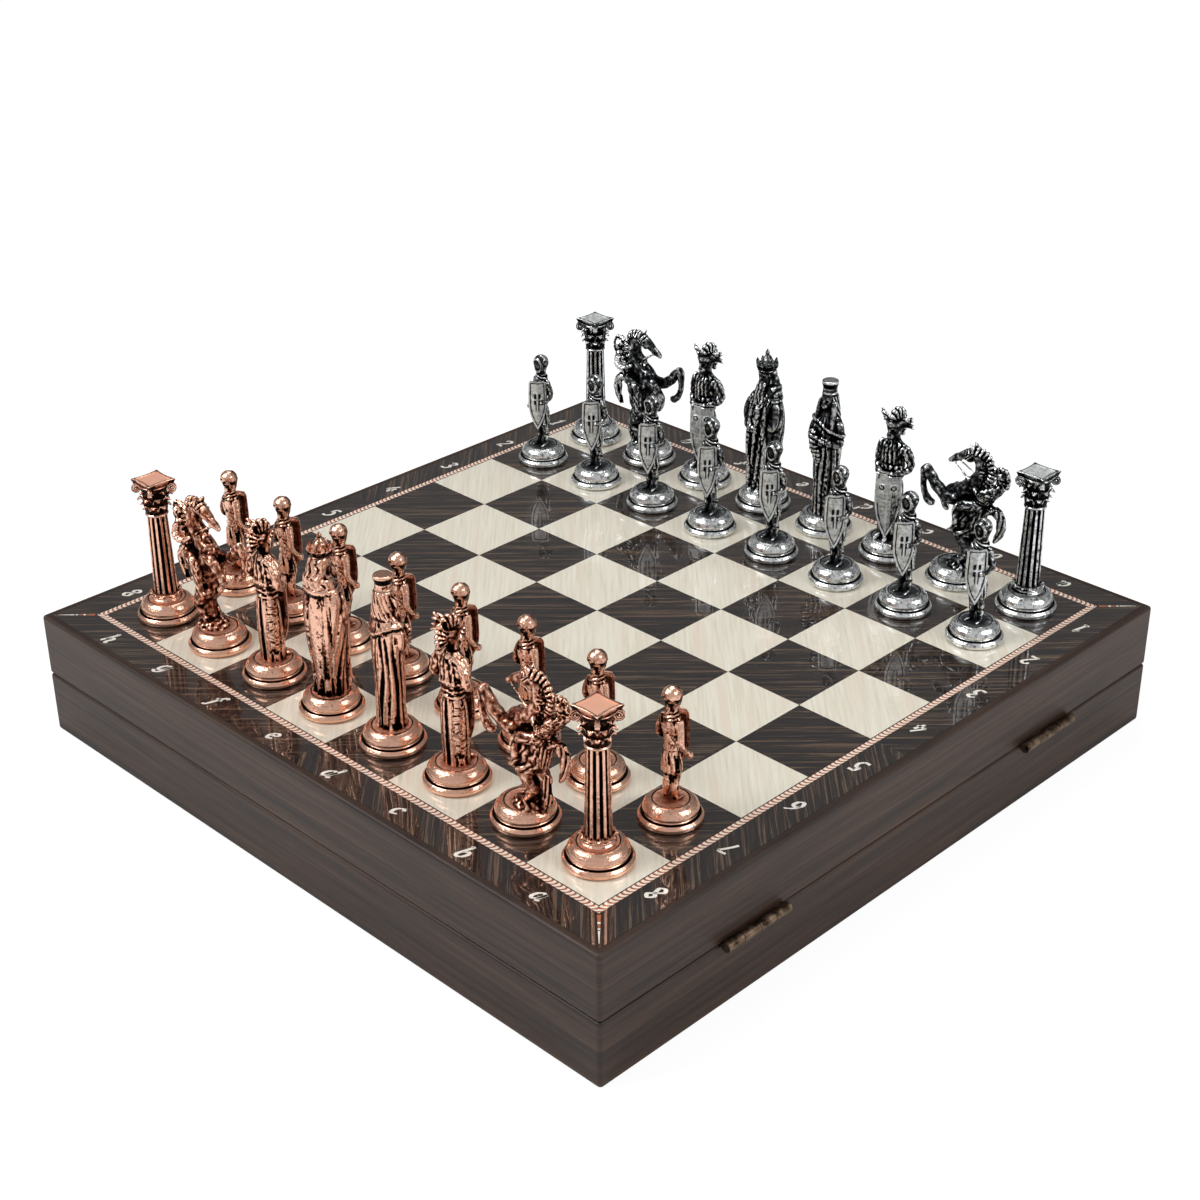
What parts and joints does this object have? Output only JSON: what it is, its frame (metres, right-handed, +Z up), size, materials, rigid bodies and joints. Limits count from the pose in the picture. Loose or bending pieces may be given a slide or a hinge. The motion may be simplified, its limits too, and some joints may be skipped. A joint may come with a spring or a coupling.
{
  "type": "chess set with storage",
  "caption": "Hinged wooden storage box whose gloss lid is the chess board, set out with armies of cast metal figures that lift off.",
  "frame": {"origin": "centre of the box's underside, on the table", "axes": "+Z up; +X towards the copper army's side (rank 8); +Y towards the hinges (file a), -Y towards the opening front (file h)"},
  "size_m": [0.359, 0.3637, 0.1432],
  "materials": {
    "box_wood": "matte dark walnut stain",
    "panel_board": "plain fibreboard",
    "dark_veneer": "striped ebony veneer under high gloss lacquer",
    "light_veneer": "pale maple veneer under high gloss lacquer",
    "rope_stringing": "cream and copper rope inlay under high gloss lacquer",
    "lining_felt": "black felt",
    "tray_foam": "black closed-cell foam, matte",
    "hinge_metal": "antiqued bronze",
    "magnet_metal": "nickel plated",
    "antique_copper": "antiqued copper plate on cast zinc alloy",
    "antique_silver": "antiqued silver plate on cast zinc alloy"
  },
  "bodies": {
    "base": {"base_rail_copper_side": "box_wood", "base_rail_hinge_side": "box_wood", "base_rail_silver_side": "box_wood", "base_rail_front": "box_wood", "base_panel": "panel_board", "tray_floor": "lining_felt", "tray_rim": "tray_foam", "tray_divider": "tray_foam", "tray_ribs": "tray_foam", "hinge_base_leaf_copper_side": "hinge_metal", "hinge_base_leaf_silver_side": "hinge_metal", "hinge_pins": "hinge_metal", "hinge_screws_base": "hinge_metal", "magnets_base": "magnet_metal"},
    "lid": {"lid_rail_copper_side": "box_wood", "lid_rail_hinge_side": "box_wood", "lid_rail_silver_side": "box_wood", "lid_rail_front": "box_wood", "board_core": "panel_board", "border_veneer": "dark_veneer", "rope_inlay": "rope_stringing", "light_squares": "light_veneer", "dark_squares": "dark_veneer", "lid_liner": "lining_felt", "hinge_lid_leaf_copper_side": "hinge_metal", "hinge_lid_leaf_silver_side": "hinge_metal", "hinge_screws_lid": "hinge_metal", "magnets_lid": "magnet_metal"},
    "silver_rook_a": {"silver_rook_a": "antique_silver"},
    "silver_knight_b": {"silver_knight_b": "antique_silver"},
    "silver_bishop_c": {"silver_bishop_c": "antique_silver"},
    "silver_queen": {"silver_queen": "antique_silver"},
    "silver_king": {"silver_king": "antique_silver"},
    "silver_bishop_f": {"silver_bishop_f": "antique_silver"},
    "silver_knight_g": {"silver_knight_g": "antique_silver"},
    "silver_rook_h": {"silver_rook_h": "antique_silver"},
    "silver_pawn_a": {"silver_pawn_a": "antique_silver"},
    "silver_pawn_b": {"silver_pawn_b": "antique_silver"},
    "silver_pawn_c": {"silver_pawn_c": "antique_silver"},
    "silver_pawn_d": {"silver_pawn_d": "antique_silver"},
    "silver_pawn_e": {"silver_pawn_e": "antique_silver"},
    "silver_pawn_f": {"silver_pawn_f": "antique_silver"},
    "silver_pawn_g": {"silver_pawn_g": "antique_silver"},
    "silver_pawn_h": {"silver_pawn_h": "antique_silver"},
    "copper_rook_a": {"copper_rook_a": "antique_copper"},
    "copper_knight_b": {"copper_knight_b": "antique_copper"},
    "copper_bishop_c": {"copper_bishop_c": "antique_copper"},
    "copper_queen": {"copper_queen": "antique_copper"},
    "copper_king": {"copper_king": "antique_copper"},
    "copper_bishop_f": {"copper_bishop_f": "antique_copper"},
    "copper_knight_g": {"copper_knight_g": "antique_copper"},
    "copper_rook_h": {"copper_rook_h": "antique_copper"},
    "copper_pawn_a": {"copper_pawn_a": "antique_copper"},
    "copper_pawn_b": {"copper_pawn_b": "antique_copper"},
    "copper_pawn_c": {"copper_pawn_c": "antique_copper"},
    "copper_pawn_d": {"copper_pawn_d": "antique_copper"},
    "copper_pawn_e": {"copper_pawn_e": "antique_copper"},
    "copper_pawn_f": {"copper_pawn_f": "antique_copper"},
    "copper_pawn_g": {"copper_pawn_g": "antique_copper"},
    "copper_pawn_h": {"copper_pawn_h": "antique_copper"}
  },
  "joints": [
    {"name": "lid_hinge", "type": "hinge", "parent": "base", "child": "lid", "pos_m": [0, 0.182, 0.0302], "axis": [-1, 0, 0], "range_deg": [0, 180]},
    {"name": "lift_silver_rook_a", "type": "slide", "parent": "lid", "child": "silver_rook_a", "axis": [0, 0, 1], "range_m": [0, 0.1]},
    {"name": "lift_silver_knight_b", "type": "slide", "parent": "lid", "child": "silver_knight_b", "axis": [0, 0, 1], "range_m": [0, 0.1]},
    {"name": "lift_silver_bishop_c", "type": "slide", "parent": "lid", "child": "silver_bishop_c", "axis": [0, 0, 1], "range_m": [0, 0.1]},
    {"name": "lift_silver_queen", "type": "slide", "parent": "lid", "child": "silver_queen", "axis": [0, 0, 1], "range_m": [0, 0.1]},
    {"name": "lift_silver_king", "type": "slide", "parent": "lid", "child": "silver_king", "axis": [0, 0, 1], "range_m": [0, 0.1]},
    {"name": "lift_silver_bishop_f", "type": "slide", "parent": "lid", "child": "silver_bishop_f", "axis": [0, 0, 1], "range_m": [0, 0.1]},
    {"name": "lift_silver_knight_g", "type": "slide", "parent": "lid", "child": "silver_knight_g", "axis": [0, 0, 1], "range_m": [0, 0.1]},
    {"name": "lift_silver_rook_h", "type": "slide", "parent": "lid", "child": "silver_rook_h", "axis": [0, 0, 1], "range_m": [0, 0.1]},
    {"name": "lift_silver_pawn_a", "type": "slide", "parent": "lid", "child": "silver_pawn_a", "axis": [0, 0, 1], "range_m": [0, 0.1]},
    {"name": "lift_silver_pawn_b", "type": "slide", "parent": "lid", "child": "silver_pawn_b", "axis": [0, 0, 1], "range_m": [0, 0.1]},
    {"name": "lift_silver_pawn_c", "type": "slide", "parent": "lid", "child": "silver_pawn_c", "axis": [0, 0, 1], "range_m": [0, 0.1]},
    {"name": "lift_silver_pawn_d", "type": "slide", "parent": "lid", "child": "silver_pawn_d", "axis": [0, 0, 1], "range_m": [0, 0.1]},
    {"name": "lift_silver_pawn_e", "type": "slide", "parent": "lid", "child": "silver_pawn_e", "axis": [0, 0, 1], "range_m": [0, 0.1]},
    {"name": "lift_silver_pawn_f", "type": "slide", "parent": "lid", "child": "silver_pawn_f", "axis": [0, 0, 1], "range_m": [0, 0.1]},
    {"name": "lift_silver_pawn_g", "type": "slide", "parent": "lid", "child": "silver_pawn_g", "axis": [0, 0, 1], "range_m": [0, 0.1]},
    {"name": "lift_silver_pawn_h", "type": "slide", "parent": "lid", "child": "silver_pawn_h", "axis": [0, 0, 1], "range_m": [0, 0.1]},
    {"name": "lift_copper_rook_a", "type": "slide", "parent": "lid", "child": "copper_rook_a", "axis": [0, 0, 1], "range_m": [0, 0.1]},
    {"name": "lift_copper_knight_b", "type": "slide", "parent": "lid", "child": "copper_knight_b", "axis": [0, 0, 1], "range_m": [0, 0.1]},
    {"name": "lift_copper_bishop_c", "type": "slide", "parent": "lid", "child": "copper_bishop_c", "axis": [0, 0, 1], "range_m": [0, 0.1]},
    {"name": "lift_copper_queen", "type": "slide", "parent": "lid", "child": "copper_queen", "axis": [0, 0, 1], "range_m": [0, 0.1]},
    {"name": "lift_copper_king", "type": "slide", "parent": "lid", "child": "copper_king", "axis": [0, 0, 1], "range_m": [0, 0.1]},
    {"name": "lift_copper_bishop_f", "type": "slide", "parent": "lid", "child": "copper_bishop_f", "axis": [0, 0, 1], "range_m": [0, 0.1]},
    {"name": "lift_copper_knight_g", "type": "slide", "parent": "lid", "child": "copper_knight_g", "axis": [0, 0, 1], "range_m": [0, 0.1]},
    {"name": "lift_copper_rook_h", "type": "slide", "parent": "lid", "child": "copper_rook_h", "axis": [0, 0, 1], "range_m": [0, 0.1]},
    {"name": "lift_copper_pawn_a", "type": "slide", "parent": "lid", "child": "copper_pawn_a", "axis": [0, 0, 1], "range_m": [0, 0.1]},
    {"name": "lift_copper_pawn_b", "type": "slide", "parent": "lid", "child": "copper_pawn_b", "axis": [0, 0, 1], "range_m": [0, 0.1]},
    {"name": "lift_copper_pawn_c", "type": "slide", "parent": "lid", "child": "copper_pawn_c", "axis": [0, 0, 1], "range_m": [0, 0.1]},
    {"name": "lift_copper_pawn_d", "type": "slide", "parent": "lid", "child": "copper_pawn_d", "axis": [0, 0, 1], "range_m": [0, 0.1]},
    {"name": "lift_copper_pawn_e", "type": "slide", "parent": "lid", "child": "copper_pawn_e", "axis": [0, 0, 1], "range_m": [0, 0.1]},
    {"name": "lift_copper_pawn_f", "type": "slide", "parent": "lid", "child": "copper_pawn_f", "axis": [0, 0, 1], "range_m": [0, 0.1]},
    {"name": "lift_copper_pawn_g", "type": "slide", "parent": "lid", "child": "copper_pawn_g", "axis": [0, 0, 1], "range_m": [0, 0.1]},
    {"name": "lift_copper_pawn_h", "type": "slide", "parent": "lid", "child": "copper_pawn_h", "axis": [0, 0, 1], "range_m": [0, 0.1]}
  ]
}
